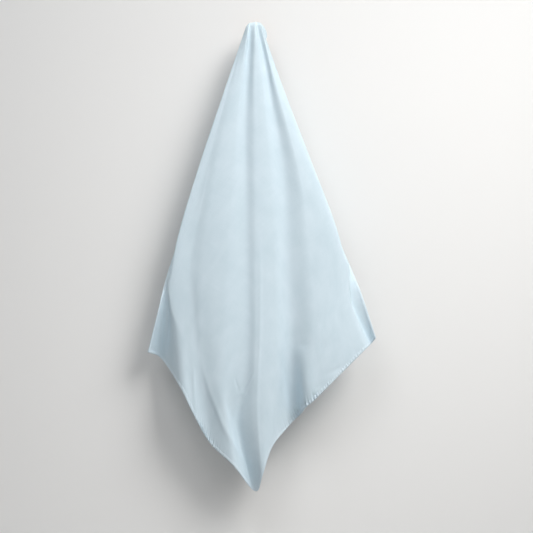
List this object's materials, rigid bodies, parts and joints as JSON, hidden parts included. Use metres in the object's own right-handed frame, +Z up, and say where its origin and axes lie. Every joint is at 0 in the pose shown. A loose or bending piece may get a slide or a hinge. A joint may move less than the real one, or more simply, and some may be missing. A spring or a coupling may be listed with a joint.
{
  "type": "square bandana hung on a wall knob",
  "caption": "Plain square bandana hung by one corner over a turned wall knob, falling in soft vertical folds to a point.",
  "frame": {"origin": "centre of the rose's flat back, where the knob is fixed to the wall", "axes": "+Y into the wall, +Z up, +X to the viewer's right as the viewer faces the wall; the cloth hangs toward -Z"},
  "size_m": [0.448, 0.1162, 0.9212],
  "materials": {
    "pale_blue_cotton": "fine plain-woven cloth, pale blue, soft and low in sheen",
    "pale_blue_hem": "the same cloth turned twice and stitched",
    "lacquered_beech": "turned beech under a satin lacquer"
  },
  "bodies": {
    "root": {"cloth_panel": "pale_blue_cotton", "hem_upper_left": "pale_blue_hem", "hem_upper_right": "pale_blue_hem", "hem_lower_left": "pale_blue_hem", "hem_lower_right": "pale_blue_hem", "knob": "lacquered_beech", "rose": "lacquered_beech"}
  },
  "joints": []
}
